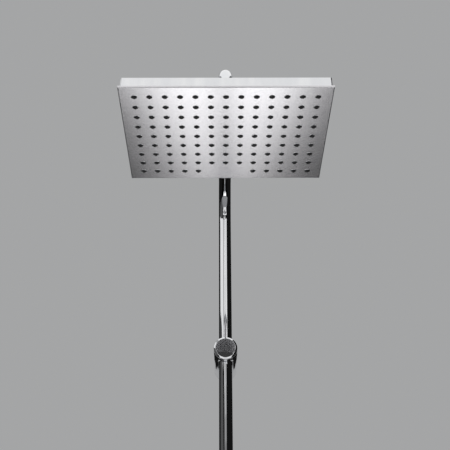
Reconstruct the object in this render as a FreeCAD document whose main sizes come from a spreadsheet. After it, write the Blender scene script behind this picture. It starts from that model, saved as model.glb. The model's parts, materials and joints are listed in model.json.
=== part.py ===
import FreeCAD, Part
import os
import Sketcher

# Shower column: a riser tube held off the wall by one round bracket, bent at its top into
# an arm that carries a slim rectangular overhead shower on a ball joint.
# Millimetres. +Z is up, the wall is the plane Y = 0 and the room lies towards -Y.
# The origin is the centre of the bracket's wall face.

SIZES = {
    # riser and arm
    "tube_diameter": 18,
    "tube_wall": 1,
    "riser_to_wall": 65,
    "riser_length": 750,
    "arm_reach": 310,
    "arm_rise": 250,
    "bend_radius": 45,
    "arm_drop": 16.3,
    "collar_diameter": 21,
    "collar_height": 3,
    "arm_thread_diameter": 18.6,
    "arm_thread_length": 9,
    # clearances
    "running_gap": 0.05,
    "side_gap": 0.3,
    # wall bracket
    "post_diameter": 32,
    "cap_standoff": 10,
    "cap_thickness": 4,
    "cap_bevel": 2.2,
    "bush_wall": 1.2,
    "bush_length": 23,
    "hub_across_corners": 24,
    "hub_length": 20,
    "stud_thread_diameter": 6.8,
    "stud_thread_depth": 14,
    "grub_diameter": 4.9,
    "grub_from_wall": 11,
    "grub_sunk": 0.6,
    # lower end of the riser
    "flange_thickness": 3,
    "flange_diameter": 23.8,
    "inlet_washer_thickness": 2,
    "nut_thread_diameter": 24.1,
    "nut_relief": 0.35,
    "nut_lip": 3,
    "nut_thread_length": 12,
    "nut_across_flats": 30,
    # ball joint
    "arm_seal_thickness": 2,
    "arm_seal_bore": 11,
    "socket_across_flats": 22,
    "socket_diameter": 26,
    "socket_height": 11,
    "seat_top": 10,
    "seat_height": 4.8,
    "water_bore": 7,
    "ball_diameter": 16,
    "ball_crown_angle": 55,
    "neck_diameter": 10,
    "neck_length": 13,
    "stem_flange_diameter": 28,
    "stem_flange_height": 2,
    "ring_nut_across_flats": 30,
    "ring_nut_height": 14.5,
    "ring_nut_cover": 6.5,
    "ring_nut_lip": 3.1,
    # overhead shower
    "head_width": 226,
    "head_depth": 166,
    "housing_height": 12.6,
    "housing_wall": 1.6,
    "housing_roof": 1.8,
    "corner_radius": 1.5,
    "face_lip": 2,
    "face_thickness": 2.4,
    "face_edge_radius": 0.9,
    "mat_thickness": 1.5,
    "gasket_thickness": 1,
    "frame_width": 5,
    "rib_width": 2,
    "rib_height": 3,
    "nozzle_pitch_across": 16.43,
    "nozzle_pitch_deep": 17.3,
    "nozzle_margin": 13,
    "nozzle_hole": 6,
    "bare_columns": 3,
}

doc = FreeCAD.newDocument("ShowerColumn")
dims = doc.addObject("Spreadsheet::Sheet", "dims")
for row, (alias, size) in enumerate(SIZES.items(), start=1):
    dims.set(f"A{row}", alias)
    dims.set(f"B{row}", str(size))
    dims.setAlias(f"B{row}", alias)
doc.recompute()

# Expressions that several pieces share.
TUBE_R = "(dims.tube_diameter / 2)"
BORE_R = f"({TUBE_R} - dims.tube_wall)"
POST_R = "(dims.post_diameter / 2)"
BUSH_R = f"({TUBE_R} + dims.running_gap + dims.bush_wall)"
THREAD_R = "(dims.arm_thread_diameter / 2)"
SOCKET_BORE_R = f"({THREAD_R} + dims.running_gap)"
BALL_R = "(dims.ball_diameter / 2)"
RISER_Y = "(-dims.riser_to_wall)"
CAP_FRONT = f"(dims.riser_to_wall + {TUBE_R} + dims.cap_standoff)"
POST_FRONT = f"({CAP_FRONT} - dims.cap_thickness)"

HEAD_Y = "(-dims.riser_to_wall - dims.arm_reach)"
ARM_END = "(dims.arm_rise - dims.bend_radius - dims.arm_drop)"
THREAD_END = f"({ARM_END} - dims.collar_height - dims.arm_thread_length)"
CUP_FOOT = "(dims.ring_nut_lip - dims.ring_nut_cover + dims.side_gap)"
BALL_Z = f"({THREAD_END} - dims.arm_seal_thickness - dims.seat_top)"
HEAD_TOP = f"({BALL_Z} - dims.neck_length)"
FACE_TOP = f"({HEAD_TOP} - dims.housing_height)"
MAT_TOP = f"({FACE_TOP} + dims.mat_thickness)"
ROOF_UNDER = f"({HEAD_TOP} - dims.housing_roof)"
CAVITY_WIDTH = "(dims.head_width - 2 * dims.housing_wall)"
CAVITY_DEPTH = "(dims.head_depth - 2 * dims.housing_wall)"
INNER_WIDTH = f"({CAVITY_WIDTH} - 2 * dims.side_gap)"
INNER_DEPTH = f"({CAVITY_DEPTH} - 2 * dims.side_gap)"

COLUMNS = "(floor((dims.head_width - 2 * dims.nozzle_margin) / dims.nozzle_pitch_across) + 1)"
ROWS = "(floor((dims.head_depth - 2 * dims.nozzle_margin) / dims.nozzle_pitch_deep) + 1)"
SIDE_COLUMNS = f"(floor(({COLUMNS} - dims.bare_columns) / 2))"
# The holes are round on the real plate; four sides keep a plate of over a hundred of them light.
HOLE_SIDES = 4
# How far a cut or a rib runs past the face that ends it.
OVERRUN = "1"


def number(obj, expression):
    """The value of an expression over the sheet, as a plain number."""
    result = obj.evalExpression(expression)
    return float(getattr(result, "Value", result))


def new_body(label, y="0", z="0"):
    """A body whose origin lies in the plane X = 0, where every piece is centred."""
    body = doc.addObject("PartDesign::Body", label)
    body.Label = label
    body.setExpression("Placement.Base.y", y)
    body.setExpression("Placement.Base.z", z)
    return body


def new_sketch(body, role, name):
    sketch = body.newObject("Sketcher::SketchObject", name)
    datum = next(f for f in body.Origin.OriginFeatures if f.Role == role)
    sketch.AttachmentSupport = [(datum, "")]
    sketch.MapMode = "FlatFace"
    return sketch


def lift(sketch, level):
    """Moves a sketch along its body's Z to a level."""
    sketch.AttachmentOffset = FreeCAD.Placement()
    sketch.setExpression("AttachmentOffset.Base.z", level)


def bind(sketch, constraint, expression):
    index = sketch.addConstraint(constraint)
    sketch.setExpression(f"Constraints[{index}]", expression)


def pin_start(sketch, edge, x, y):
    """Ties the start point of an edge to two expressions."""
    bind(sketch, Sketcher.Constraint("DistanceX", -1, 1, edge, 1, number(dims, x)), x)
    bind(sketch, Sketcher.Constraint("DistanceY", -1, 1, edge, 1, number(dims, y)), y)


def add_outline(sketch, points):
    """A closed outline of straight edges through (x, y) pairs of expressions."""
    spots = [FreeCAD.Vector(number(dims, x), number(dims, y), 0) for x, y in points]
    first = sketch.GeometryCount
    for start, end in zip(spots, spots[1:] + spots[:1]):
        sketch.addGeometry(Part.LineSegment(start, end))
    count = len(points)
    for step in range(count):
        following = first + (step + 1) % count
        sketch.addConstraint(Sketcher.Constraint("Coincident", first + step, 2, following, 1))
    for step, (x, y) in enumerate(points):
        pin_start(sketch, first + step, x, y)


def add_rectangle(sketch, width, depth):
    """A rectangle centred on the sketch's origin."""
    x, y = f"{width} / 2", f"{depth} / 2"
    add_outline(sketch, [(f"-{x}", f"-{y}"), (x, f"-{y}"), (x, y), (f"-{x}", y)])


def add_circle(sketch, radius, x="0", y="0"):
    centre = FreeCAD.Vector(number(dims, x), number(dims, y), 0)
    circle = sketch.addGeometry(Part.Circle(centre, FreeCAD.Vector(0, 0, 1), number(dims, radius)))
    bind(sketch, Sketcher.Constraint("Radius", circle, number(dims, radius)), radius)
    bind(sketch, Sketcher.Constraint("DistanceX", -1, 1, circle, 3, number(dims, x)), x)
    bind(sketch, Sketcher.Constraint("DistanceY", -1, 1, circle, 3, number(dims, y)), y)


def add_polygon(sketch, sides, corner_radius, x="0", y="0"):
    """A regular polygon with its corners on a circle."""
    corners = []
    for corner in range(sides):
        angle = 360 * corner / sides
        across = f"{x} + {corner_radius} * cos({angle})"
        corners.append((across, f"{y} + {corner_radius} * sin({angle})"))
    add_outline(sketch, corners)


def revolve(body, sketch):
    feature = body.newObject("PartDesign::Revolution", sketch.Name + "Turned")
    feature.Profile = sketch
    feature.ReferenceAxis = (sketch, ["V_Axis"])
    feature.Angle = 360
    sketch.Visibility = False
    return feature


def turned(label, points, y="0", z="0", upright=True):
    """A lathe-turned piece: (radius, height) points about Z, or about Y for the bracket."""
    body = new_body(label, y, z)
    sketch = new_sketch(body, "XZ_Plane" if upright else "XY_Plane", label + "Profile")
    add_outline(sketch, points)
    revolve(body, sketch)
    return body


def pad(body, sketch, length, downward=False):
    feature = body.newObject("PartDesign::Pad", sketch.Name + "Pad")
    feature.Profile = sketch
    feature.Reversed = downward
    feature.setExpression("Length", length)
    return feature


def pocket(body, sketch, length, upward=True):
    feature = body.newObject("PartDesign::Pocket", sketch.Name + "Pocket")
    feature.Profile = sketch
    feature.Reversed = upward
    feature.setExpression("Length", length)
    return feature


def pocket_through(body, sketch):
    feature = body.newObject("PartDesign::Pocket", sketch.Name + "Through")
    feature.Profile = sketch
    feature.Type = "ThroughAll"
    feature.SideType = "Symmetric"
    return feature


def ring(inner, outer, low, high):
    """The four corners of a plain ring's section."""
    return [(inner, low), (outer, low), (outer, high), (inner, high)]


def grid_pattern(body, feature, sketch, name, columns, rows):
    """Repeats a feature over a grid, to +X and +Y of the first."""
    steps = []
    for axis, count, pitch in (
        ("H_Axis", columns, "dims.nozzle_pitch_across"),
        ("V_Axis", rows, "dims.nozzle_pitch_deep"),
    ):
        if number(dims, count) > 1:
            line = body.newObject("PartDesign::LinearPattern", name + axis[0])
            line.Direction = (sketch, [axis])
            line.setExpression("Length", f"({count} - 1) * {pitch}")
            line.setExpression("Occurrences", count)
            steps.append(line)
    grid = body.newObject("PartDesign::MultiTransform", name)
    grid.Originals = [feature]
    grid.Transformations = steps
    body.Tip = grid
    return grid


def nozzle_groups():
    """First nozzle, columns and rows of each group: the full rows, then the back row's two ends."""
    first_x = f"(-({COLUMNS} - 1) / 2 * dims.nozzle_pitch_across)"
    first_y = f"(-({ROWS} - 1) / 2 * dims.nozzle_pitch_deep)"
    back_y = f"(({ROWS} - 1) / 2 * dims.nozzle_pitch_deep)"
    right_x = f"(({COLUMNS} - 1) / 2 - {SIDE_COLUMNS} + 1) * dims.nozzle_pitch_across"
    return (
        ("Rows", first_x, first_y, COLUMNS, f"({ROWS} - 1)"),
        ("BackLeft", first_x, back_y, SIDE_COLUMNS, "1"),
        ("BackRight", f"({right_x})", back_y, SIDE_COLUMNS, "1"),
    )


# Wall bracket -------------------------------------------------------------------------

def wall_hub():
    """Hexagonal brass hub that screws on the wall's stud; the post slides over it."""
    body = new_body("wall_hub")
    hexagon = new_sketch(body, "XZ_Plane", "HubHexagon")
    add_polygon(hexagon, 6, "dims.hub_across_corners / 2")
    pad(body, hexagon, "dims.hub_length")
    stud_hole = new_sketch(body, "XZ_Plane", "StudHole")
    add_circle(stud_hole, "dims.stud_thread_diameter / 2")
    pocket(body, stud_hole, "dims.stud_thread_depth")
    return body


def bracket_post():
    """Round post: bored for the hub behind and crossed by the riser's bush."""
    hub = "dims.hub_across_corners / 2 + dims.running_gap"
    hub_end = "-dims.hub_length - dims.side_gap"
    body = turned(
        "bracket_post",
        [
            (hub, "0"),
            (POST_R, "0"),
            (POST_R, f"-{POST_FRONT}"),
            ("0", f"-{POST_FRONT}"),
            ("0", hub_end),
            (hub, hub_end),
        ],
        upright=False,
    )
    riser_hole = new_sketch(body, "XY_Plane", "RiserHole")
    add_circle(riser_hole, f"{BUSH_R} + dims.running_gap", "0", RISER_Y)
    pocket_through(body, riser_hole)
    grub_hole = new_sketch(body, "XY_Plane", "GrubHole")
    add_circle(grub_hole, "dims.grub_diameter / 2 + dims.running_gap", "0", "-dims.grub_from_wall")
    pocket(body, grub_hole, f"{POST_R} + {OVERRUN}", upward=False)
    return body


def bracket_cap():
    """Bevelled disc that closes the post's front."""
    return turned(
        "bracket_cap",
        [
            ("0", f"-{CAP_FRONT}"),
            (f"{POST_R} - dims.cap_bevel", f"-{CAP_FRONT}"),
            (POST_R, f"-{CAP_FRONT} + dims.cap_bevel / 2"),
            (POST_R, f"-{POST_FRONT}"),
            ("0", f"-{POST_FRONT}"),
        ],
        upright=False,
    )


def riser_bush():
    """Plastic sleeve that the riser turns in."""
    half = "dims.bush_length / 2"
    return turned("riser_bush", ring(f"{TUBE_R} + dims.running_gap", BUSH_R, f"-{half}", half), y=RISER_Y)


def grub_screw():
    """Screw from below that holds the post on its hub."""
    top = "-dims.hub_across_corners / 2 * cos(30)"
    foot = f"-{POST_R} + dims.grub_sunk"
    radius = "dims.grub_diameter / 2"
    return turned(
        "grub_screw",
        [("0", foot), (radius, foot), (radius, top), ("0", top)],
        y="-dims.grub_from_wall",
    )


# Riser and arm ------------------------------------------------------------------------

def tube_route(body):
    """The centre line of the riser, both bends and the arm, as five edges of one sketch."""
    route = new_sketch(body, "YZ_Plane", "TubeRoute")
    radius, reach = "dims.bend_radius", "dims.arm_reach"
    rise = "(dims.riser_length + dims.arm_rise)"
    below_bend = f"({rise} - {radius})"
    corners = [
        ("0", "0"),
        ("0", below_bend),
        (f"-{radius}", rise),
        (f"-{reach} + {radius}", rise),
        (f"-{reach}", below_bend),
        (f"-{reach}", f"{below_bend} - dims.arm_drop"),
    ]
    spots = [FreeCAD.Vector(number(dims, x), number(dims, y), 0) for x, y in corners]
    size = number(dims, radius)
    half = size * 0.5 ** 0.5
    first_middle = FreeCAD.Vector(half - size, spots[1].y + half, 0)
    last_middle = FreeCAD.Vector(spots[4].x + size - half, spots[4].y + half, 0)
    route.addGeometry(Part.LineSegment(spots[0], spots[1]))
    route.addGeometry(Part.Arc(spots[1], first_middle, spots[2]))
    route.addGeometry(Part.LineSegment(spots[2], spots[3]))
    route.addGeometry(Part.Arc(spots[3], last_middle, spots[4]))
    route.addGeometry(Part.LineSegment(spots[4], spots[5]))
    # an arc may run either way, so its start is the end that meets the edge before it
    for edge, spot in ((1, spots[1]), (3, spots[3])):
        start = route.getPoint(edge, 1)
        near, far = (1, 2) if start.distanceToPoint(spot) < 1e-6 else (2, 1)
        route.addConstraint(Sketcher.Constraint("Coincident", edge - 1, 2, edge, near))
        route.addConstraint(Sketcher.Constraint("Coincident", edge, far, edge + 1, 1))
        bind(route, Sketcher.Constraint("Radius", edge, size), radius)
    for edge in (0, 2, 4):
        pin_start(route, edge, *corners[edge])
        for kind, value in zip(("DistanceX", "DistanceY"), corners[edge + 1]):
            bind(route, Sketcher.Constraint(kind, -1, 1, edge, 2, number(dims, value)), value)
    return route


def add_disc(body, name, radius, length, level="0", y="0", cut=False):
    """A round pad or bore from a level of the body; y is measured from the riser."""
    sketch = new_sketch(body, "XY_Plane", name)
    lift(sketch, level)
    add_circle(sketch, radius, "0", y)
    return pocket(body, sketch, length) if cut else pad(body, sketch, length)


def riser_tube():
    """One bent tube: foot flange, riser, arm, and the collar and male thread at its end.

    It is bored up to each bend; the arm between the bends, which nothing shows, stays full.
    """
    body = new_body("riser_tube", y=RISER_Y, z="-dims.riser_length")
    route = tube_route(body)
    section = new_sketch(body, "XY_Plane", "TubeSection")
    add_circle(section, TUBE_R)
    pipe = body.newObject("PartDesign::AdditivePipe", "TubePipe")
    pipe.Profile = section
    pipe.Spine = (route, [f"Edge{edge}" for edge in range(1, 6)])
    add_disc(body, "FootFlange", "dims.flange_diameter / 2", "dims.flange_thickness")
    bend_foot = "(dims.riser_length + dims.arm_rise - dims.bend_radius)"
    thread_foot = f"(dims.riser_length + {THREAD_END})"
    collar_foot = f"({thread_foot} + dims.arm_thread_length)"
    over_head = "-dims.arm_reach"
    add_disc(body, "ArmThread", THREAD_R, "dims.arm_thread_length", thread_foot, over_head)
    add_disc(body, "ArmCollar", "dims.collar_diameter / 2", "dims.collar_height", collar_foot, over_head)
    add_disc(body, "RiserBore", BORE_R, bend_foot, cut=True)
    add_disc(body, "ArmBore", BORE_R, f"{bend_foot} - {thread_foot}", thread_foot, over_head, cut=True)
    return body


def riser_seals():
    """The washer under the foot flange and the flat seal at the arm's threaded end."""
    body = new_body("riser_seals", y=RISER_Y, z="-dims.riser_length")
    body.AllowCompound = True
    washer = new_sketch(body, "XY_Plane", "InletWasher")
    add_circle(washer, "dims.flange_diameter / 2")
    add_circle(washer, BORE_R)
    pad(body, washer, "dims.inlet_washer_thickness", downward=True)
    seal = new_sketch(body, "XY_Plane", "ArmSeal")
    lift(seal, f"dims.riser_length + {THREAD_END}")
    add_circle(seal, THREAD_R, "0", "-dims.arm_reach")
    add_circle(seal, "dims.arm_seal_bore / 2", "0", "-dims.arm_reach")
    pad(body, seal, "dims.arm_seal_thickness", downward=True)
    return body


def add_hexagon(body, name, across_flats, height, level="0"):
    """A hexagonal bar from a level of the body."""
    sketch = new_sketch(body, "XY_Plane", name)
    lift(sketch, level)
    add_polygon(sketch, 6, f"({across_flats} / 2 / cos(30))")
    return pad(body, sketch, height)


def groove(body, name, points):
    sketch = new_sketch(body, "XZ_Plane", name)
    add_outline(sketch, points)
    feature = body.newObject("PartDesign::Groove", name + "Cut")
    feature.Profile = sketch
    feature.ReferenceAxis = (sketch, ["V_Axis"])
    feature.Angle = 360
    return feature


def union_nut():
    """Hexagon nut that hangs on the foot flange and screws on a mixer's outlet."""
    thread = "dims.nut_thread_diameter / 2"
    relief = f"{thread} + dims.nut_relief"
    lip = "(dims.nut_thread_length + dims.inlet_washer_thickness + dims.flange_thickness + dims.running_gap)"
    height = f"({lip} + dims.nut_lip)"
    body = new_body(
        "union_nut",
        y=RISER_Y,
        z="-dims.riser_length - dims.inlet_washer_thickness - dims.nut_thread_length",
    )
    add_hexagon(body, "NutHexagon", "dims.nut_across_flats", height)
    hole = f"{TUBE_R} + 2 * dims.running_gap"
    groove(
        body,
        "NutBore",
        [
            ("0", f"-{OVERRUN}"),
            (thread, f"-{OVERRUN}"),
            (thread, "dims.nut_thread_length"),
            (relief, "dims.nut_thread_length"),
            (relief, lip),
            (hole, lip),
            (hole, f"{height} + {OVERRUN}"),
            ("0", f"{height} + {OVERRUN}"),
        ],
    )
    return body


# Ball joint ---------------------------------------------------------------------------

def ball_clearance(level):
    """Radius of the hole whose edge, at this level, stays a running gap off the ball."""
    reach = f"({BALL_R} + dims.running_gap)"
    return f"sqrt({reach} * {reach} - ({level}) * ({level}))"


def swivel_socket():
    """Nut on the arm's thread, whose round foot takes the ball; the origin is the ball's centre."""
    body = new_body("swivel_socket", y=HEAD_Y, z=BALL_Z)
    add_disc(body, "CupBlank", "dims.socket_diameter / 2", f"dims.socket_height - {CUP_FOOT}", CUP_FOOT)
    top = "dims.seat_top + dims.arm_seal_thickness + dims.arm_thread_length - dims.side_gap"
    nut_height = f"{top} - dims.socket_height"
    add_hexagon(body, "SocketHexagon", "dims.socket_across_flats", nut_height, "dims.socket_height")
    bore = new_sketch(body, "XY_Plane", "SocketBore")
    add_circle(bore, SOCKET_BORE_R)
    pocket_through(body, bore)
    return body


def ball_seat():
    """Plastic sleeve under the arm's seal, whose lower edge meets the ball all round."""
    outer = f"{SOCKET_BORE_R} - dims.running_gap"
    brim = "(dims.seat_top - dims.seat_height)"
    return turned("ball_seat", ring(ball_clearance(brim), outer, brim, "dims.seat_top"), y=HEAD_Y, z=BALL_Z)


def ring_nut():
    """Hexagon nut over the cup; its lip meets the ball below its middle and holds it up."""
    foot = "(-dims.ring_nut_cover)"
    lip = "(dims.ring_nut_lip - dims.ring_nut_cover)"
    body = new_body("ring_nut", y=HEAD_Y, z=BALL_Z)
    add_hexagon(body, "RingNutHexagon", "dims.ring_nut_across_flats", "dims.ring_nut_height", foot)
    thread = "dims.socket_diameter / 2 + dims.running_gap"
    mouth = ball_clearance(lip)
    below = f"{foot} - {OVERRUN}"
    above = f"{foot} + dims.ring_nut_height + {OVERRUN}"
    groove(
        body,
        "RingNutBore",
        [("0", below), (mouth, below), (mouth, lip), (thread, lip), (thread, above), ("0", above)],
    )
    return body


def add_ball(body, level):
    """Ball, neck and flange, turned about the body's axis with the ball's centre at a level."""
    sketch = new_sketch(body, "XZ_Plane", "BallSection")
    radius = number(dims, BALL_R)
    neck = "dims.neck_diameter / 2"
    flange = "dims.stem_flange_diameter / 2"
    flange_top = "dims.stem_flange_height"
    centre = FreeCAD.Vector(0, number(dims, level), 0)
    meeting = f"({level} - sqrt({BALL_R} * {BALL_R} - {neck} * {neck}))"
    crown_r = f"{BALL_R} * cos(dims.ball_crown_angle)"
    crown_z = f"{level} + {BALL_R} * sin(dims.ball_crown_angle)"
    low = FreeCAD.Vector(number(dims, neck), number(dims, meeting), 0)
    high = FreeCAD.Vector(number(dims, crown_r), number(dims, crown_z), 0)
    side = centre + FreeCAD.Vector(radius, 0, 0)
    sketch.addGeometry(Part.Arc(low, side, high))
    points = [
        (crown_r, crown_z),
        ("0", crown_z),
        ("0", "-dims.housing_roof / 2"),
        (flange, "-dims.housing_roof / 2"),
        (flange, flange_top),
        (neck, flange_top),
        (neck, meeting),
    ]
    spots = [FreeCAD.Vector(number(dims, x), number(dims, y), 0) for x, y in points]
    for start, end in zip(spots, spots[1:]):
        sketch.addGeometry(Part.LineSegment(start, end))
    for edge in range(1, len(points) - 1):
        sketch.addConstraint(Sketcher.Constraint("Coincident", edge, 2, edge + 1, 1))
    for edge, (x, y) in enumerate(points[:-1], start=1):
        pin_start(sketch, edge, x, y)
    last = len(points) - 1
    bind(sketch, Sketcher.Constraint("DistanceX", -1, 1, last, 2, number(dims, neck)), neck)
    bind(sketch, Sketcher.Constraint("DistanceY", -1, 1, last, 2, number(dims, meeting)), meeting)
    start = sketch.getPoint(0, 1)
    low_end, high_end = (1, 2) if start.distanceToPoint(low) < 1e-6 else (2, 1)
    sketch.addConstraint(Sketcher.Constraint("Coincident", 0, high_end, 1, 1))
    sketch.addConstraint(Sketcher.Constraint("Coincident", 0, low_end, last, 2))
    bind(sketch, Sketcher.Constraint("Radius", 0, radius), BALL_R)
    return revolve(body, sketch)


# Overhead shower ----------------------------------------------------------------------

def upright_edges(shape):
    """Names of the straight edges that stand along Z."""
    names = []
    for index, edge in enumerate(shape.Edges, start=1):
        if len(edge.Vertexes) == 2:
            run = edge.Vertexes[1].Point - edge.Vertexes[0].Point
            if abs(run.x) + abs(run.y) < 1e-6:
                names.append(f"Edge{index}")
    return names


def edges_at(shape, level):
    """Names of the edges that lie in one level plane."""
    names = []
    for index, edge in enumerate(shape.Edges, start=1):
        if all(abs(vertex.Z - level) < 1e-6 for vertex in edge.Vertexes):
            names.append(f"Edge{index}")
    return names


def fillet(body, base, edges, radius):
    feature = body.newObject("PartDesign::Fillet", base.Name + "Fillet")
    feature.Base = (base, edges)
    feature.setExpression("Radius", radius)
    return feature


def head_housing():
    """Shallow upside-down tray with the ball on its roof; its origin is the top's centre."""
    body = new_body("head_housing", y=HEAD_Y, z=HEAD_TOP)
    outline = new_sketch(body, "XY_Plane", "HousingOutline")
    add_rectangle(outline, "dims.head_width", "dims.head_depth")
    block = pad(body, outline, "dims.housing_height", downward=True)
    doc.recompute()
    fillet(body, block, upright_edges(block.Shape), "dims.corner_radius")
    cavity = new_sketch(body, "XY_Plane", "HousingCavity")
    add_rectangle(cavity, CAVITY_WIDTH, CAVITY_DEPTH)
    lift(cavity, "-dims.housing_roof")
    pocket(body, cavity, "dims.housing_height", upward=False)
    add_ball(body, "dims.neck_length")
    inlet = new_sketch(body, "XY_Plane", "HousingInlet")
    add_circle(inlet, "dims.water_bore / 2")
    pocket_through(body, inlet)
    return body


def chamber_gasket():
    """Rubber frame under the roof, round the rim of the water chamber."""
    body = new_body("chamber_gasket", y=HEAD_Y, z=f"{ROOF_UNDER} - dims.gasket_thickness")
    frame = new_sketch(body, "XY_Plane", "GasketFrame")
    add_rectangle(frame, INNER_WIDTH, INNER_DEPTH)
    rim = "2 * dims.frame_width"
    add_rectangle(frame, f"({INNER_WIDTH} - {rim})", f"({INNER_DEPTH} - {rim})")
    pad(body, frame, "dims.gasket_thickness")
    return body


def chamber_frame():
    """Plastic frame that holds the mat's rim down, with ribs across the chamber."""
    body = new_body("chamber_frame", y=HEAD_Y, z=MAT_TOP)
    height = "dims.housing_height - dims.housing_roof - dims.mat_thickness - dims.gasket_thickness"
    inner_width = f"({INNER_WIDTH} - 2 * dims.frame_width)"
    inner_depth = f"({INNER_DEPTH} - 2 * dims.frame_width)"
    frame = new_sketch(body, "XY_Plane", "FrameSection")
    add_rectangle(frame, INNER_WIDTH, INNER_DEPTH)
    add_rectangle(frame, inner_width, inner_depth)
    pad(body, frame, height)
    for side, name in (("-", "RibLeft"), ("", "RibRight")):
        rib = new_sketch(body, "XY_Plane", name)
        centre = f"{side}{inner_width} / 6"
        half_rib, half_depth = "dims.rib_width / 2", f"({inner_depth} / 2 + {OVERRUN})"
        add_outline(rib, [
            (f"{centre} - {half_rib}", f"-{half_depth}"),
            (f"{centre} + {half_rib}", f"-{half_depth}"),
            (f"{centre} + {half_rib}", half_depth),
            (f"{centre} - {half_rib}", half_depth),
        ])
        pad(body, rib, "dims.rib_height")
    return body


def nozzle_mat():
    """Black silicone sheet behind the face's holes."""
    body = new_body("nozzle_mat", y=HEAD_Y, z=FACE_TOP)
    sheet = new_sketch(body, "XY_Plane", "MatSheet")
    add_rectangle(sheet, INNER_WIDTH, INNER_DEPTH)
    pad(body, sheet, "dims.mat_thickness")
    return body


def spray_face():
    """Metal face plate, pierced for the nozzles, standing proud of the housing all round."""
    body = new_body("spray_face", y=HEAD_Y, z=FACE_TOP)
    outline = new_sketch(body, "XY_Plane", "FaceOutline")
    add_rectangle(outline, "(dims.head_width + 2 * dims.face_lip)", "(dims.head_depth + 2 * dims.face_lip)")
    plate = pad(body, outline, "dims.face_thickness", downward=True)
    doc.recompute()
    underside = -number(dims, "dims.face_thickness")
    fillet(body, plate, edges_at(plate.Shape, underside), "dims.face_edge_radius")
    for name, x, y, columns, rows in nozzle_groups():
        hole = new_sketch(body, "XY_Plane", "Hole" + name)
        add_polygon(hole, HOLE_SIDES, "(dims.nozzle_hole / 2)", x, y)
        first = pocket(body, hole, f"dims.face_thickness + {OVERRUN}", upward=False)
        grid_pattern(body, first, hole, "Holes" + name, columns, rows)
    return body


sub_parts = [
    wall_hub(),
    bracket_post(),
    bracket_cap(),
    riser_bush(),
    grub_screw(),
    riser_tube(),
    riser_seals(),
    union_nut(),
    swivel_socket(),
    ball_seat(),
    ring_nut(),
    head_housing(),
    chamber_gasket(),
    chamber_frame(),
    nozzle_mat(),
    spray_face(),
]
doc.recompute()

for obj in doc.Objects:
    if "Invalid" in obj.State or "Error" in obj.State:
        raise RuntimeError(f"{obj.Name} failed: {obj.State}")
for body in sub_parts:
    if body.Shape.isNull() or not body.Shape.isValid():
        raise RuntimeError(f"{body.Label} has no valid shape")

os.makedirs("parts", exist_ok=True)
for body in sub_parts:
    body.Shape.exportStep(f"parts/{body.Label}.step")
    box = body.Shape.BoundBox
    extent = f"{box.XLength:.1f} x {box.YLength:.1f} x {box.ZLength:.1f}"
    print(f"{body.Label}: {len(body.Shape.Solids)} solid(s), {extent}")
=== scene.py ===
# %% [markdown]
# # A shower column in polished chrome
#
# The object is a thin bent pipe with a flat rectangular shower head, held off the wall by one
# round bracket. Chrome has hardly any colour of its own: it shows what stands around it, so
# this lesson spends as much care on the room as on the metal.
#
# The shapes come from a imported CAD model. It is loaded first and stays fixed, and every piece
# that is added rides on one of its bodies, so that it moves when a joint moves.

# %% Load the fixed frame
import json
import math

import bmesh
import bpy
from mathutils import Matrix, Vector


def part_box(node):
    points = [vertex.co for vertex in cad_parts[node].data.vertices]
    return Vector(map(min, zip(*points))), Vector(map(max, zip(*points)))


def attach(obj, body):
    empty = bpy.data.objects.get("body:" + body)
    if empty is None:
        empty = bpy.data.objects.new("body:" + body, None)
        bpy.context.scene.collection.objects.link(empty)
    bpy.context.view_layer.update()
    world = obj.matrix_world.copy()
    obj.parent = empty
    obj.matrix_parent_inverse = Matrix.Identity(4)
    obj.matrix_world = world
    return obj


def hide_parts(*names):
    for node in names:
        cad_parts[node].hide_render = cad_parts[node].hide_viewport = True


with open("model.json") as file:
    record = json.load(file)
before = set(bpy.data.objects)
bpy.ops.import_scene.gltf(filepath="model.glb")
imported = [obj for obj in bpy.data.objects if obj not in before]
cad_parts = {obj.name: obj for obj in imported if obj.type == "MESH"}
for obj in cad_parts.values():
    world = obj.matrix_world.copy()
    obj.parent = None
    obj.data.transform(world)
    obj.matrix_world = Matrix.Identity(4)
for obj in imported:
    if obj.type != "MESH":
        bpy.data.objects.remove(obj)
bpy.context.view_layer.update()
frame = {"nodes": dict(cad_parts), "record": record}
nodes = frame["nodes"]
MM = 0.001

# %% [markdown]
# ## The camera
#
# The photograph was taken from under the head, looking up. Its camera was found by matching
# the nozzle grid, whose rows and columns are evenly spaced on the real plate. A pitch of 31
# degrees and a lens of 67 mm bring the nozzles to 0.4 pixels of the photograph's on average,
# and to one pixel at worst.

# %% Place the camera
PHOTO_SIDE = 450
FOCAL_PIXELS = 841.5
SENSOR_MM = 36
CAMERA_PLACE = Vector((-5.8, -1144.8, -446.6)) * MM
PITCH, YAW, ROLL = (math.radians(a) for a in (31.13, 0.32, -0.30))


def aim(pitch, yaw, roll):
    """The camera's rotation: level towards the wall, then pitched up, turned and rolled."""
    level = Matrix.Rotation(math.radians(90), 4, "X")
    return (
        Matrix.Rotation(-yaw, 4, "Z")
        @ Matrix.Rotation(pitch, 4, "X")
        @ level
        @ Matrix.Rotation(roll, 4, "Z")
    )


camera_data = bpy.data.cameras.new("photo_camera")
camera_data.sensor_width = SENSOR_MM
camera_data.lens = FOCAL_PIXELS / PHOTO_SIDE * SENSOR_MM
camera_data.clip_end = 30
camera = bpy.data.objects.new("photo_camera", camera_data)
camera.matrix_world = Matrix.Translation(CAMERA_PLACE) @ aim(PITCH, YAW, ROLL)
bpy.context.collection.objects.link(camera)
bpy.context.scene.camera = camera
bpy.context.scene.view_settings.view_transform = "Standard"
print("lens", round(camera_data.lens, 2), "mm")

# %% [markdown]
# ## Writing shaders as sums
#
# A shader is a small calculation on every point of a surface. It reads best as a formula, so
# one class wraps a socket and lets Python's operators add the Math nodes. Every other node
# comes from one method, which takes the node's type, its settings and what goes in.

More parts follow.
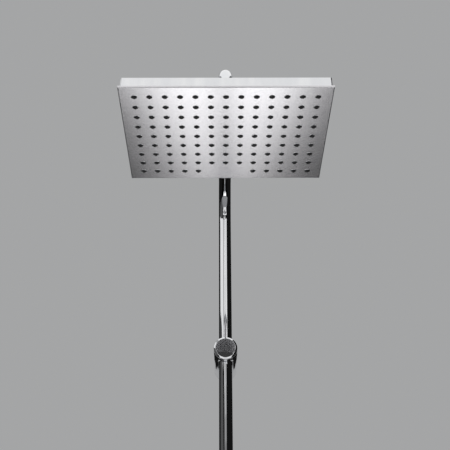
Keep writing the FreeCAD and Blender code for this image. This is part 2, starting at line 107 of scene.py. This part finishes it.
# %% A wrapped socket
class Shade:
    """A node tree's output socket, with operators that add Math nodes."""

    def __init__(self, tree, socket):
        self.tree, self.socket = tree, socket

    def node(self, kind, settings=None, inputs=None, output=0):
        """Adds a node, sets its properties, fills its sockets and wraps one output."""
        made = self.tree.nodes.new(kind)
        for name, value in (settings or {}).items():
            setattr(made, name, value)
        for name, value in (inputs or {}).items():
            if isinstance(value, Shade):
                self.tree.links.new(value.socket, made.inputs[name])
            else:
                made.inputs[name].default_value = value
        return Shade(self.tree, made.outputs[output])

    def math(self, operation, other, swapped=False):
        first, second = (other, self) if swapped else (self, other)
        return self.node("ShaderNodeMath", {"operation": operation}, {0: first, 1: second})

    def __add__(self, other):
        return self.math("ADD", other)

    def __sub__(self, other):
        return self.math("SUBTRACT", other)

    def __mul__(self, other):
        return self.math("MULTIPLY", other)

    def __rsub__(self, other):
        return self.math("SUBTRACT", other, swapped=True)

    def between(self, low, high):
        """0 at low, 1 at high, smooth in between."""
        return self.node(
            "ShaderNodeMapRange",
            {"interpolation_type": "SMOOTHSTEP"},
            {"Value": self, "From Min": low, "From Max": high},
        )

    def tint(self, dark, light):
        """A colour between two, by this value."""
        return self.node(
            "ShaderNodeMix",
            {"data_type": "RGBA"},
            {"Factor": self, "A": (*dark, 1), "B": (*light, 1)},
            output=2,
        )


def finish_material(name, metallic=0.0, **constants):
    """A new material: its name, its tree's coordinate socket and its shader."""
    material = bpy.data.materials.new(name)
    material.use_nodes = True
    tree = material.node_tree
    shader = tree.nodes["Principled BSDF"]
    shader.inputs["Metallic"].default_value = metallic
    for socket, value in constants.items():
        shader.inputs[socket.replace("_", " ")].default_value = value
    place = tree.nodes.new("ShaderNodeTexCoord")
    return material, Shade(tree, place.outputs["Object"]), shader


def feed(shade, shader, socket):
    shade.tree.links.new(shade.socket, shader.inputs[socket])


def noise(place, scale, detail=3.0, stretch=(1, 1, 1)):
    """Soft noise at a number of blobs per metre, stretched along an axis if asked."""
    stretched = place.node("ShaderNodeMapping", None, {"Vector": place, "Scale": stretch})
    return place.node(
        "ShaderNodeTexNoise", None, {"Vector": stretched, "Scale": scale, "Detail": detail}
    )


def bump(height, strength, distance):
    return height.node(
        "ShaderNodeBump", None, {"Height": height, "Strength": strength, "Distance": distance}
    )


# %% [markdown]
# ## Polished chrome
#
# Plated brass is the smoothest thing in a bathroom. What keeps it from looking computed is
# what happens to it after: faint wipe marks and dried water, which only change the roughness,
# and a slow waviness from polishing, which bends the reflections a little.

# %% Chrome
def polished_chrome():
    material, place, shader = finish_material("polished_chrome", metallic=1.0)
    wipes = noise(place, 55, 4, (1, 1, 0.25))
    marks = noise(place, 300, 2)
    waves = noise(place, 38, 1)
    colour = wipes.between(0.35, 0.75).tint((0.80, 0.81, 0.83), (0.88, 0.885, 0.895))
    roughness = wipes.between(0.45, 0.75) * 0.04 + marks.between(0.60, 0.75) * 0.03 + 0.03
    feed(colour, shader, "Base Color")
    feed(roughness, shader, "Roughness")
    feed(bump(waves, 0.25, 0.0004), shader, "Normal")
    return material


# %% [markdown]
# ## Satin chrome
#
# The plate around the nozzles is matt: fine blasting before plating leaves grains of a few
# tenths of a millimetre. The grain shows as sparkle in the photograph, so it goes into the
# roughness and the bump at that scale.

# %% Satin chrome
def satin_chrome():
    material, place, shader = finish_material("satin_chrome", metallic=1.0)
    grain = noise(place, 1100, 2)
    clouds = noise(place, 14, 3)
    feed(grain.between(0.3, 0.7).tint((0.72, 0.71, 0.735), (0.86, 0.85, 0.87)), shader, "Base Color")
    feed(clouds * 0.03 + grain * 0.05 + 0.185, shader, "Roughness")
    feed(bump(grain, 0.1, 0.00008), shader, "Normal")
    return material


# %% [markdown]
# ## Rubber, plastic, brass and steel
#
# Small pieces get small materials, but each still has its own surface: silicone is nearly
# black with a soft sheen, moulded plastic is slightly mottled, and the turned brass and steel
# show fine rings from the lathe.

# %% The small finishes
def moulded(name, dark, light, roughness, grain_scale):
    material, place, shader = finish_material(name, IOR=1.47)
    grain = noise(place, grain_scale, 3)
    feed(grain.between(0.3, 0.7).tint(dark, light), shader, "Base Color")
    feed(grain * 0.15 + roughness, shader, "Roughness")
    feed(bump(grain, 0.1, 0.0001), shader, "Normal")
    return material


def machined(name, dark, light, roughness):
    material, place, shader = finish_material(name, metallic=1.0)
    rings = noise(place, 500, 2, (0.15, 8, 0.15))
    feed(rings.between(0.3, 0.7).tint(dark, light), shader, "Base Color")
    feed(rings * 0.15 + roughness, shader, "Roughness")
    feed(bump(rings, 0.15, 0.0001), shader, "Normal")
    return material


finishes = {
    "polished_chrome": polished_chrome(),
    "satin_chrome": satin_chrome(),
}
MOULDED = {
    "black_silicone": ((0.010, 0.010, 0.011), (0.020, 0.020, 0.022), 0.38, 700),
    "black_rubber": ((0.014, 0.014, 0.014), (0.028, 0.028, 0.028), 0.55, 500),
    "black_plastic": ((0.022, 0.022, 0.024), (0.036, 0.036, 0.038), 0.45, 400),
    "white_plastic": ((0.70, 0.70, 0.68), (0.80, 0.80, 0.78), 0.35, 300),
}
MACHINED = {
    "brass": ((0.52, 0.38, 0.16), (0.68, 0.52, 0.25), 0.25),
    "steel": ((0.38, 0.39, 0.41), (0.52, 0.53, 0.55), 0.30),
}
for name, figures in MOULDED.items():
    finishes[name] = moulded(name, *figures)
for name, figures in MACHINED.items():
    finishes[name] = machined(name, *figures)
slot_of = {piece["node"]: piece["material_slot"] for piece in frame["record"]["subparts"]}
for name, node in nodes.items():
    node.data.materials.clear()
    node.data.materials.append(finishes[slot_of[name]])
print("finishes:", len(finishes))

# %% [markdown]
# ## Turned pieces
#
# Most of this object came off a lathe: caps, bushes, nozzle tips, the rims of holes. A turned
# piece is a short outline carried round an axis, so one function makes them all. The outline
# is a list of (radius, height) pairs in millimetres, in the order a finger would trace it.

# %% Carry an outline round an axis
ROUND_STEPS = 96
TAU = 2 * math.pi
UP = Matrix.Identity(3)
FACING_ROOM = Matrix.Rotation(math.radians(90), 3, "X")


def softened(outline, radius, steps=4):
    """Rounds every inner corner of an outline with a small arc."""
    points = [Vector(p) for p in outline]
    rounded = [points[0]]
    for before, corner, after in zip(points, points[1:], points[2:]):
        near = (before - corner).normalized()
        far = (after - corner).normalized()
        reach = min(radius, (before - corner).length / 2.2, (after - corner).length / 2.2)
        start, end = corner + near * reach, corner + far * reach
        for step in range(steps + 1):
            t = step / steps
            rounded.append(start * (1 - t) ** 2 + corner * 2 * t * (1 - t) + end * t**2)
    rounded.append(points[-1])
    return rounded


def add_mesh(name, vertices, faces, slot, body, stands_for=()):
    """A smooth mesh object in millimetres, riding on a body and standing for CAD nodes."""
    mesh = bpy.data.meshes.new(name)
    mesh.from_pydata([Vector(v) * MM for v in vertices], [], faces)
    shape = bmesh.new()
    shape.from_mesh(mesh)
    bmesh.ops.remove_doubles(shape, verts=shape.verts, dist=1e-7)
    bmesh.ops.recalc_face_normals(shape, faces=shape.faces)
    shape.to_mesh(mesh)
    shape.free()
    mesh.shade_smooth()
    mesh.set_sharp_from_angle(angle=math.radians(35))
    mesh.materials.append(finishes[slot])
    obj = bpy.data.objects.new(name, mesh)
    bpy.context.collection.objects.link(obj)
    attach(obj, body)
    if stands_for:
        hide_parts(*stands_for)
    return obj


def rings_to_faces(rings, steps, closed=False):
    """Quads between rings of vertices that are numbered one after another."""
    faces = []
    for ring in range(rings if closed else rings - 1):
        low, high = ring * steps, (ring + 1) % rings * steps
        for step in range(steps):
            after = (step + 1) % steps
            faces.append((low + step, low + after, high + after, high + step))
    return faces


def turn(outline, places, steps=ROUND_STEPS, turning=UP):
    """Vertices and faces of an outline turned round an axis, once for each place."""
    vertices, faces = [], []
    one_set = rings_to_faces(len(outline), steps)
    for place in places:
        first = len(vertices)
        for radius, height in outline:
            for step in range(steps):
                angle = TAU * step / steps
                spot = Vector((radius * math.cos(angle), radius * math.sin(angle), height))
                vertices.append(turning @ spot + Vector(place))
        faces += [tuple(first + v for v in face) for face in one_set]
    return vertices, faces


def middle(node):
    """A CAD node's centre in millimetres."""
    low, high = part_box(node)
    return (low + high) / 2 / MM


# %% [markdown]
# ## The bent tube
#
# The riser, both bends and the arm are one pipe. It is swept rather than lathed: a circle is
# carried along the centre line, and each bend is a quarter circle with its own small steps.
# The flange at the foot, the collar and the thread at the other end are only changes of
# radius on the way, and the sweep turns back inside at both ends to leave the bore open for as
# far as anyone can look into it.

# %% Sweep the tube
TUBE_RADIUS = 9.0
BORE_RADIUS = 8.0
BEND_RADIUS = 45.0
BEND_STEPS = 28
FLANGE = {"radius": 11.9, "height": 3.0}
COLLAR = {"radius": 10.5, "height": 3.0}
EDGE = 0.3
THREAD_RADIUS = 9.3
GAP_OVER_SOCKET = 0.3
BORE_SEEN, END_BORE_SEEN = 60.0, 20.0
NEARLY_CLOSED = 0.01

tube_low, tube_high = (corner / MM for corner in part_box("riser_tube"))
riser_y = tube_high.y - FLANGE["radius"]
drop_y = tube_low.y + COLLAR["radius"]
arm_z = tube_high.z - TUBE_RADIUS
foot_z = tube_low.z
collar_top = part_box("swivel_socket")[1].z / MM + GAP_OVER_SOCKET + COLLAR["height"]
thread_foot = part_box("riser_seals")[1].z / MM


def tube_stations():
    """(centre, direction, radius) along the tube, out of the foot and back into the end."""
    up, down = Vector((0, 0, 1)), Vector((0, 0, -1))

    def riser(z, radius):
        return Vector((0, riser_y, z)), up, radius

    def drop(z, radius):
        return Vector((0, drop_y, z)), down, radius

    stations = [
        riser(foot_z + BORE_SEEN, NEARLY_CLOSED),
        riser(foot_z + BORE_SEEN, BORE_RADIUS),
        riser(foot_z, BORE_RADIUS),
        riser(foot_z, FLANGE["radius"] - EDGE),
        riser(foot_z + EDGE, FLANGE["radius"]),
        riser(foot_z + FLANGE["height"] - EDGE, FLANGE["radius"]),
        riser(foot_z + FLANGE["height"], FLANGE["radius"] - EDGE),
        riser(foot_z + FLANGE["height"], TUBE_RADIUS),
    ]
    bends = (
        (riser_y - BEND_RADIUS, 0.0),
        (drop_y + BEND_RADIUS, math.radians(90)),
    )
    for centre_y, first_angle in bends:
        for step in range(BEND_STEPS + 1):
            angle = first_angle + math.radians(90) * step / BEND_STEPS
            out = Vector((0, math.cos(angle), math.sin(angle)))
            centre = Vector((0, centre_y, arm_z - BEND_RADIUS)) + out * BEND_RADIUS
            direction = Vector((0, -math.sin(angle), math.cos(angle)))
            stations.append((centre, direction, TUBE_RADIUS))
    collar_foot = collar_top - COLLAR["height"]
    stations += [
        drop(collar_top, TUBE_RADIUS),
        drop(collar_top, COLLAR["radius"] - EDGE),
        drop(collar_top - EDGE, COLLAR["radius"]),
        drop(collar_foot + EDGE, COLLAR["radius"]),
        drop(collar_foot, COLLAR["radius"] - EDGE),
        drop(collar_foot, THREAD_RADIUS),
        drop(thread_foot, THREAD_RADIUS),
        drop(thread_foot, BORE_RADIUS),
        drop(thread_foot + END_BORE_SEEN, BORE_RADIUS),
        drop(thread_foot + END_BORE_SEEN, NEARLY_CLOSED),
    ]
    return stations


def sweep(stations, steps=ROUND_STEPS):
    """Rings of vertices across each station; the path keeps to one plane, so X stays level."""
    across = Vector((1, 0, 0))
    vertices = []
    for centre, direction, radius in stations:
        outward = direction.cross(across)
        for step in range(steps):
            angle = TAU * step / steps
            spot = across * math.cos(angle) + outward * math.sin(angle)
            vertices.append(centre + spot * radius)
    return vertices, rings_to_faces(len(stations), steps)


riser = add_mesh("riser_pipe", *sweep(tube_stations()), "polished_chrome", "riser", ["riser_tube"])
print("tube rings:", len(tube_stations()))

# %% [markdown]
# ## The round bracket
#
# From the front the bracket is a disc with a broad bevel, the brightest spot on the lower
# half of the picture. The bevel is cut on the lathe and then polished, which rounds its two
# edges very slightly; those thin rounds are what catches the light.

# %% Cap
POST_RADIUS = 16.0
CAP_BEVEL = 2.2
cap_low, cap_high = (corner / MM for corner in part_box("bracket_cap"))
cap_thickness = cap_high.y - cap_low.y
cap_outline = [
    (0.01, cap_thickness),
    (POST_RADIUS - CAP_BEVEL, cap_thickness),
    (POST_RADIUS, cap_thickness - CAP_BEVEL / 2),
    (POST_RADIUS, 0.15),
    (POST_RADIUS - 0.4, 0.02),
    (0.01, 0.02),
]
cap = turn(softened(cap_outline, 0.35), [(0, cap_high.y, 0)], turning=FACING_ROOM)
add_mesh("cap_disc", *cap, "polished_chrome", "bracket", ["bracket_cap"])

# %% [markdown]
# ## Nuts
#
# A nut is a hexagon that a cone has cut at both ends. Seen as rings, each ring's radius at
# an angle is the smaller of two: the hexagon's and the cone's. That one line gives the curved
# lines where the flats meet the chamfer.

# %% Hexagon nuts
NUT_STEPS = 144
CONE_STEPS = 6


def hexagon_radius(angle, across_flats):
    """Distance from the middle of a hexagon with a corner at angle 0 to its side."""
    sixth = math.radians(60)
    off_flat = (angle % sixth) - sixth / 2
    return across_flats / 2 / math.cos(off_flat)


def nut_mesh(across_flats, low, high, bore, centre, chamfer=1.4):
    """Chamfered outside from low to high, then back down a bore outline of (radius, z)."""
    corner = across_flats / 2 / math.cos(math.radians(30))
    face = across_flats / 2 - 0.4
    rise = [step / CONE_STEPS for step in range(CONE_STEPS + 1)]
    cone = [face + (corner + 0.1 - face) * t for t in rise]
    rings = [(face, low)]
    rings += [(limit, low + chamfer * t) for limit, t in zip(cone, rise)]
    rings += [(limit, high - chamfer * t) for limit, t in zip(reversed(cone), reversed(rise))]
    outside = len(rings)
    rings += bore
    vertices = []
    for number, (limit, z) in enumerate(rings):
        for step in range(NUT_STEPS):
            angle = TAU * step / NUT_STEPS
            radius = min(hexagon_radius(angle, across_flats), limit) if number < outside else limit
            spot = Vector((radius * math.cos(angle), radius * math.sin(angle), z))
            vertices.append(centre + spot)
    return vertices, rings_to_faces(len(rings), NUT_STEPS, closed=True)


NUT_ACROSS_FLATS = 30.0
nut_low, nut_high = (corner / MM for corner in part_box("union_nut"))
nut_height = nut_high.z - nut_low.z
LIP_HEIGHT, RELIEF = 3.0, 0.5
THREAD_TURNS, THREAD_ROOT, THREAD_CREST = 12, 12.45, 12.05
union_bore = [
    (TUBE_RADIUS + RELIEF, nut_height),
    (TUBE_RADIUS + 0.1, nut_height - RELIEF),
    (TUBE_RADIUS + 0.1, nut_height - LIP_HEIGHT),
    (FLANGE["radius"] + RELIEF, nut_height - LIP_HEIGHT),
    (FLANGE["radius"] + RELIEF, THREAD_TURNS),
]
for turn_down in range(THREAD_TURNS):
    union_bore.append((THREAD_ROOT, THREAD_TURNS - 0.25 - turn_down))
    union_bore.append((THREAD_CREST, THREAD_TURNS - 0.65 - turn_down))
union_bore.append((THREAD_ROOT + 0.15, 0.0))
union = nut_mesh(NUT_ACROSS_FLATS, 0.0, nut_height, union_bore, Vector((0, riser_y, nut_low.z)))
add_mesh("union_nut_hexagon", *union, "polished_chrome", "union_nut", ["union_nut"])
print("union nut height:", round(nut_height, 2))

# %% [markdown]
# The ball joint over the head has two more. The socket is a hexagon that ends in a round cup,
# and the ring nut screws over the cup and holds the ball up with its lip.

# %% Nuts of the ball joint
SOCKET_ACROSS_FLATS, RING_ACROSS_FLATS = 22.0, 30.0
CUP_RADIUS, SOCKET_BORE = 13.0, 9.5
HEXAGON_FOOT = 14.1
MOUTH_RADIUS, LIP = 7.3, 3.1
socket_low, socket_high = (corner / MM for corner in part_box("swivel_socket"))
ring_low, ring_high = (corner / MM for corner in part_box("ring_nut"))
socket_top = socket_high.z - socket_low.z
ring_top = ring_high.z - ring_low.z
socket_bore = [
    (SOCKET_BORE + 0.4, socket_top),
    (SOCKET_BORE, socket_top - 0.4),
    (SOCKET_BORE, 0.0),
    (CUP_RADIUS - 0.4, 0.0),
    (CUP_RADIUS, 0.4),
    (CUP_RADIUS, HEXAGON_FOOT - 0.5),
    (CUP_RADIUS - 0.5, HEXAGON_FOOT),
]
ring_bore = [
    (CUP_RADIUS + 0.45, ring_top),
    (CUP_RADIUS + 0.05, ring_top - 0.4),
    (CUP_RADIUS + 0.05, LIP),
    (MOUTH_RADIUS, LIP),
    (MOUTH_RADIUS, 0.4),
    (MOUTH_RADIUS + 0.4, 0.0),
]
socket_spot, ring_spot = (Vector((0, drop_y, low.z)) for low in (socket_low, ring_low))
socket = nut_mesh(SOCKET_ACROSS_FLATS, HEXAGON_FOOT, socket_top, socket_bore, socket_spot, chamfer=1.0)
add_mesh("socket_nut", *socket, "polished_chrome", "swivel", ["swivel_socket"])
ring = nut_mesh(RING_ACROSS_FLATS, 0.0, ring_top, ring_bore, ring_spot)
add_mesh("ring_nut_hexagon", *ring, "polished_chrome", "swivel", ["ring_nut"])
print("ball joint nuts at", round(ring_low.z, 1), "and", round(socket_low.z, 1))

# %% [markdown]
# ## Nozzles
#
# One black silicone sheet lies behind the plate, and its nozzles fill the plate's holes. Each
# is a soft cone with a pin hole, made to be rubbed clean with a thumb. The plate's holes are
# punched, which leaves a thin rolled edge: the bright ring round every nozzle.

# %% Nozzle grid
PITCH_ACROSS, PITCH_DEEP = 16.43, 17.3
COLUMNS, ROWS, BARE = 13, 9, 3
face_low, face_high = (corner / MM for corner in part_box("spray_face"))
face_middle = middle("spray_face")
underside = face_low.z


def nozzle_places():
    """Every nozzle's spot on the plate's underside; the back row is bare in its middle."""
    places = []
    for row in range(ROWS):
        for column in range(COLUMNS):
            from_middle = column - (COLUMNS - 1) / 2
            if row == ROWS - 1 and abs(from_middle) <= BARE / 2:
                continue
            x = face_middle.x + from_middle * PITCH_ACROSS
            y = face_middle.y + (row - (ROWS - 1) / 2) * PITCH_DEEP
            places.append((x, y, underside))
    return places


TIP = [
    (2.85, 0.9),
    (2.8, 0.0),
    (2.45, -0.15),
    (2.1, -1.1),
    (1.8, -1.3),
    (0.65, -1.3),
    (0.45, -1.0),
    (0.4, 1.0),
]
RIM = [(2.72, 0.3), (2.74, -0.08), (2.9, -0.2), (3.15, -0.14), (3.35, 0.02)]
tips = turn(softened(TIP, 0.2, 2), nozzle_places(), steps=20)
add_mesh("nozzle_tips", *tips, "black_silicone", "head")
rims = turn(RIM, nozzle_places(), steps=24)
add_mesh("hole_rims", *rims, "polished_chrome", "head")
print("nozzles:", len(nozzle_places()))

# %% [markdown]
# ## Soft edges on the CAD's own pieces
#
# A real edge is never sharp: plating and polishing leave a round of a few tenths of a
# millimetre that draws a thin light line along it. The pieces whose shape is already right
# keep their CAD mesh and only get this round, as a modifier.

# %% Bevel what stays
def soften_node(name, width):
    node = nodes[name]
    weld = node.modifiers.new("weld", "WELD")
    weld.merge_threshold = 1e-6
    bevel = node.modifiers.new("edge_round", "BEVEL")
    bevel.width = width * MM
    bevel.segments = 3
    bevel.limit_method = "ANGLE"
    bevel.angle_limit = math.radians(50)
    bevel.harden_normals = True


SOFTENED = ("head_housing", "bracket_post")
for name in SOFTENED:
    soften_node(name, 0.4)
print("softened:", *SOFTENED)

# %% [markdown]
# ## The room
#
# A plain pale floor and an even pale world are all that the camera sees of the studio. What
# the chrome sees matters more. A photographer hangs white panels for its bright bands and
# black ones for its dark edges, just outside the picture. They are built the same way here:
# upright boards round the object, each with its own glow, that only light and mirrors meet.

# %% Floor and world
FLOOR_LEVEL, FLOOR_REACH = -1.5, 6
FLOOR_TONE = (0.62, 0.62, 0.63)
WORLD_TONE = (0.98, 0.99, 1.0)
WORLD_STRENGTH = 0.38


def stage_object(name, corners, material):
    """A piece of the studio: it isn't part of the object."""
    mesh = bpy.data.meshes.new(name)
    mesh.from_pydata(corners, [], [(0, 1, 2, 3)])
    mesh.materials.append(material)
    obj = bpy.data.objects.new(name, mesh)
    bpy.context.collection.objects.link(obj)
    return obj


def floor_paint():
    material, place, shader = finish_material("floor_paint", Roughness=0.9, Specular_IOR_Level=0.0)
    lighter = tuple(tone * 1.03 for tone in FLOOR_TONE)
    feed(noise(place, 3, 2).between(0.3, 0.7).tint(FLOOR_TONE, lighter), shader, "Base Color")
    return material


signs = ((-1, -1), (1, -1), (1, 1), (-1, 1))
floor_corners = [(FLOOR_REACH * x, FLOOR_REACH * y, FLOOR_LEVEL) for x, y in signs]
stage_object("floor", floor_corners, floor_paint())

world = bpy.data.worlds.new("room_light")
world.use_nodes = True
background = world.node_tree.nodes["Background"]
background.inputs["Color"].default_value = (*WORLD_TONE, 1)
background.inputs["Strength"].default_value = WORLD_STRENGTH
bpy.context.scene.world = world
print("floor at", FLOOR_LEVEL, "m, world strength", WORLD_STRENGTH)

# %% [markdown]
# ## White panels and black panels
#
# Where each panel hangs follows from a mirror rule. The camera looks up at the pipe at 16 to
# 31 degrees, so the pipe shows what hangs 16 to 31 degrees up, in front and at the sides. The
# head's upright side shows what is 40 degrees up, and the face's rolled front edge shows all
# that stands in front, from there down to the floor. The disc shows the head's own underside,
# and past it a strip of the front that has to be as dark.

# %% A panel
def panel(name, corners, glow, lights=True):
    """A board that the camera doesn't see; most of them darken or light only what mirrors them."""
    material = bpy.data.materials.new(name)
    material.use_nodes = True
    tree = material.node_tree
    tree.nodes.clear()
    emission = tree.nodes.new("ShaderNodeEmission")
    emission.inputs["Strength"].default_value = glow
    output = tree.nodes.new("ShaderNodeOutputMaterial")
    tree.links.new(emission.outputs["Emission"], output.inputs["Surface"])
    board = stage_object(name, corners, material)
    board.visible_camera = False
    board.visible_shadow = False
    board.visible_diffuse = lights
    return board


def across(y, left, right, low, high):
    """Corners of a board that faces the wall."""
    return [(left, y, low), (right, y, low), (right, y, high), (left, y, high)]


def along(x, near, far, low, high):
    """Corners of a board at one side."""
    return [(x, near, low), (x, far, low), (x, far, high), (x, near, high)]


FRONT, BACK = -1.30, 3.2
LEFT, RIGHT = -1.20, 1.10
FOOT, TOP = -0.9, 2.2
WHITE_END = 0.78
SIDE_WHITE_END = 0.07
STEP_BACK = 0.01
SIGHT_OF_DISC = 0.525
SIGHT_OF_PIPE = 0.60
SIGHT_OF_STRIP = 1.35
GAP = (-0.82, -0.45)
BLACK = 0.008
print("panels stand between", (LEFT, FRONT), "and", (RIGHT, BACK))

# %% [markdown]
# The white panels come first: the front one, its lower step, the dim gap that draws the grey
# line down the pipe's left side, the left one and the ceiling.

# %% White panels
panel("front_white", across(FRONT, GAP[1], WHITE_END, SIGHT_OF_PIPE, SIGHT_OF_STRIP), 0.88)
panel("front_low_white", across(FRONT, 0.0, WHITE_END, SIGHT_OF_DISC, SIGHT_OF_PIPE), 0.88)
panel("gap_grey", across(FRONT, *GAP, SIGHT_OF_PIPE, SIGHT_OF_STRIP), 0.35)
panel("left_front_white", across(FRONT, LEFT, GAP[0], SIGHT_OF_PIPE, SIGHT_OF_STRIP), 0.85)
panel("left_white", along(LEFT, FRONT, SIDE_WHITE_END, SIGHT_OF_PIPE, 1.6), 0.85)
panel("top_white", [(-0.8, -1.0, 1.7), (0.8, -1.0, 1.7), (0.8, 0.5, 1.7), (-0.8, 0.5, 1.7)], 0.95)

# %% [markdown]
# These serve the small mirrors. Four boards low down give the rolled front edge its bright
# line, with a hole in the middle that the disc would otherwise find by way of the face. A
# narrow one, brighter towards its top, is the stripe on the pipe below the disc.

# %% Panels that only mirrors meet
EDGE_OUT, EDGE_HOLE = 0.75, 0.13
EDGE_FOOT, EDGE_MIDDLE, EDGE_TOP = -0.5, -0.05, 0.12
NARROW_LEFT, NARROW_RIGHT, NARROW_HOLE = -0.48, 0.26, 0.08
NARROW_FOOT, NARROW_STEP, NARROW_TOP = 0.14, 0.08, 0.54
panel("low_white", across(FRONT, -EDGE_OUT, EDGE_OUT, FOOT, EDGE_FOOT), 0.85, False)
panel("edge_white", across(FRONT, -EDGE_OUT, EDGE_OUT, EDGE_MIDDLE, EDGE_TOP), 0.95, False)
panel("edge_left_white", across(FRONT, -EDGE_OUT, -EDGE_HOLE, EDGE_FOOT, EDGE_MIDDLE), 0.85, False)
panel("edge_right_white", across(FRONT, EDGE_HOLE, EDGE_OUT, EDGE_FOOT, EDGE_MIDDLE), 0.85, False)
panel("disc_grey", across(FRONT, -NARROW_HOLE, NARROW_HOLE, 0.38, NARROW_TOP), 0.045, False)
for band, glow in enumerate((0.22, 0.32, 0.45)):
    low = NARROW_FOOT + NARROW_STEP * band
    corners = across(FRONT, NARROW_LEFT, NARROW_RIGHT, low, low + NARROW_STEP)
    panel(f"narrow_white_{band}", corners, glow, False)
panel("narrow_left_white", across(FRONT, NARROW_LEFT, -NARROW_HOLE, 0.38, NARROW_TOP), 0.75)
panel("narrow_right_white", across(FRONT, NARROW_HOLE, NARROW_RIGHT, 0.38, NARROW_TOP), 0.75)

# %% [markdown]
# Last come the dark ones. The front one hangs a centimetre behind the white ones and fills
# what they leave; the right side is all black, which gives the pipe its dark half.

# %% Dark panels
behind_front, behind_left = FRONT - STEP_BACK, LEFT - STEP_BACK
panel("front_black", across(behind_front, LEFT, RIGHT, FOOT, SIGHT_OF_PIPE), BLACK, False)
panel("front_right_black", across(FRONT, WHITE_END, RIGHT, -0.5, TOP), BLACK, False)
panel("left_grey", along(behind_left, FRONT, SIDE_WHITE_END, FOOT, SIGHT_OF_PIPE), 0.09, False)
panel("left_back_black", along(LEFT, SIDE_WHITE_END, BACK, FOOT, TOP), BLACK, False)
panel("right_black", along(RIGHT, FRONT, BACK, FOOT, TOP), BLACK, False)

# %% [markdown]
# ## The glow that the plate mirrors
#
# The plate is bright at the front and falls off to its back corners. It mirrors what lies low
# behind the object, so a level board hangs there and glows upward. The glow fades at both
# sides, and it gets narrower and weaker with depth.

# %% Floor glow
GLOW_MIDDLE, GLOW_NEAR = 0.0, 0.72
HALF_WIDTH, NARROWING = 0.24, 0.25
SIDE_FADE = (1.35, 0.60)
DEPTH_FADE = (1.80, 0.35)
GLOW_PEAK = 2.0


def floor_glow():
    material = bpy.data.materials.new("floor_glow")
    material.use_nodes = True
    tree = material.node_tree
    tree.nodes.clear()
    place = Shade(tree, tree.nodes.new("ShaderNodeTexCoord").outputs["Object"])
    parts = place.node("ShaderNodeSeparateXYZ", None, {0: place})
    x, y = (Shade(tree, parts.socket.node.outputs[axis]) for axis in (0, 1))
    half_width = HALF_WIDTH - (y - GLOW_NEAR) * NARROWING
    sideways = (x - GLOW_MIDDLE).math("ABSOLUTE", 0.0).math("DIVIDE", half_width)
    strength = sideways.between(*SIDE_FADE) * y.between(*DEPTH_FADE) * GLOW_PEAK
    emission = strength.node("ShaderNodeEmission", None, {"Strength": strength})
    output = tree.nodes.new("ShaderNodeOutputMaterial")
    tree.links.new(emission.socket, output.inputs["Surface"])
    return material


GLOW_START, GLOW_LEVEL = 0.1, FOOT + STEP_BACK
glow_spots = ((LEFT, GLOW_START), (RIGHT, GLOW_START), (RIGHT, BACK), (LEFT, BACK))
patch = stage_object("floor_glow", [(*spot, GLOW_LEVEL) for spot in glow_spots], floor_glow())
patch.visible_camera = False
patch.visible_shadow = False
patch.visible_diffuse = False
print("glow peak:", GLOW_PEAK)
